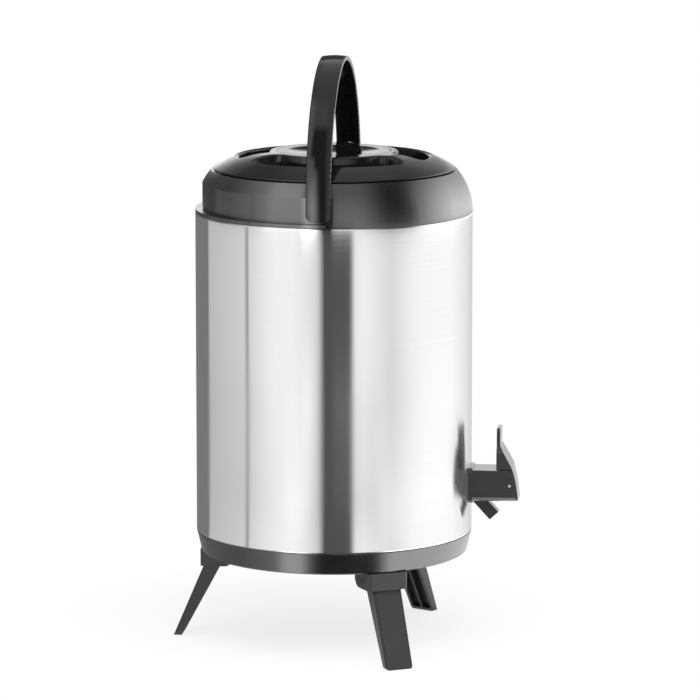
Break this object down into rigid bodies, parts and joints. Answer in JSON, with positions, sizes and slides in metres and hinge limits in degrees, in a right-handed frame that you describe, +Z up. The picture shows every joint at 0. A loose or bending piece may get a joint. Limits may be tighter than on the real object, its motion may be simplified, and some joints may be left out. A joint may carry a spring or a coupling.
{
  "type": "insulated beverage dispenser",
  "caption": "Insulated steel drink barrel on folding legs, with a screw lid, a folding strap handle and a lever tap.",
  "frame": {"origin": "on the floor plane under the three soles, on the barrel's axis", "axes": "+Z up the barrel's axis, -Y towards the tap, +X along the handle's pivots"},
  "size_m": [0.2866, 0.3403, 0.5752],
  "materials": {
    "steel_sheet": "satin",
    "black_gloss": "gloss",
    "dark_satin": "satin",
    "black_inner": "satin",
    "foam": "matte",
    "silicone": "matte",
    "hardware": "satin"
  },
  "bodies": {
    "barrel": {"outer_shell": "steel_sheet", "inner_vessel": "steel_sheet", "foam_jacket": "foam", "collar": "dark_satin", "base_ring": "dark_satin", "base_plate": "black_inner", "base_screws": "hardware", "bracket_screws": "hardware", "leg_bracket_rear": "dark_satin", "leg_bracket_left": "dark_satin", "leg_bracket_right": "dark_satin", "leg_pin_rear": "hardware", "leg_pin_left": "hardware", "leg_pin_right": "hardware", "tap_flange": "dark_satin", "tap_body": "dark_satin", "tap_shank": "black_inner", "tap_washer": "silicone", "tap_nut": "black_inner", "lever_pin": "hardware", "stem_oring": "silicone", "gland_washer": "hardware", "valve_spring": "hardware"},
    "handle": {"handle": "black_gloss", "handle_washers": "hardware", "handle_screws": "hardware"},
    "lid_seal": {"lid_gasket": "silicone"},
    "lid": {"lid_shell": "black_gloss", "lid_floor": "black_gloss", "lid_cap": "black_gloss", "lid_liner": "black_inner", "lid_foam": "foam"},
    "lever": {"tap_lever": "dark_satin"},
    "stem": {"valve_stem": "black_inner", "valve_seal": "silicone"},
    "leg_rear": {"leg_rear": "dark_satin"},
    "leg_left": {"leg_left": "dark_satin"},
    "leg_right": {"leg_right": "dark_satin"}
  },
  "joints": [
    {"name": "handle_swing", "type": "hinge", "parent": "barrel", "child": "handle", "pos_m": [0, 0, 0.4412], "axis": [-1, 0, 0], "range_deg": [0, 90]},
    {"name": "lid_rise", "type": "slide", "parent": "barrel", "child": "lid_seal", "axis": [0, 0, 1], "range_m": [0, 0.02]},
    {"name": "lid_turn", "type": "hinge", "parent": "lid_seal", "child": "lid", "pos_m": [0, 0, 0.465], "axis": [0, 0, 1], "range_deg": [0, 540]},
    {"name": "tap_pull", "type": "hinge", "parent": "barrel", "child": "lever", "pos_m": [0, -0.1737, 0.158], "axis": [1, 0, 0], "range_deg": [0, 22], "stiffness_Nm_per_rad": 0.6, "springref_deg": -11.46},
    {"name": "valve_open", "type": "slide", "parent": "barrel", "child": "stem", "axis": [0, 1, 0], "range_m": [0, 0.0025], "deforming": ["valve_spring"]},
    {"name": "leg_fold_rear", "type": "hinge", "parent": "barrel", "child": "leg_rear", "pos_m": [0, 0.1159, 0.0803], "axis": [-1, 0, 0], "range_deg": [0, 115]},
    {"name": "leg_fold_left", "type": "hinge", "parent": "barrel", "child": "leg_left", "pos_m": [-0.10037, -0.05795, 0.0803], "axis": [0.5, -0.866, 0], "range_deg": [0, 115]},
    {"name": "leg_fold_right", "type": "hinge", "parent": "barrel", "child": "leg_right", "pos_m": [0.10037, -0.05795, 0.0803], "axis": [0.5, 0.866, 0], "range_deg": [0, 115]}
  ],
  "couplings": [
    {"joint": "lid_rise", "follows": "lid_turn", "m_per_rad": 0.002122},
    {"joint": "valve_open", "follows": "tap_pull", "m_per_rad": 0.0065}
  ]
}
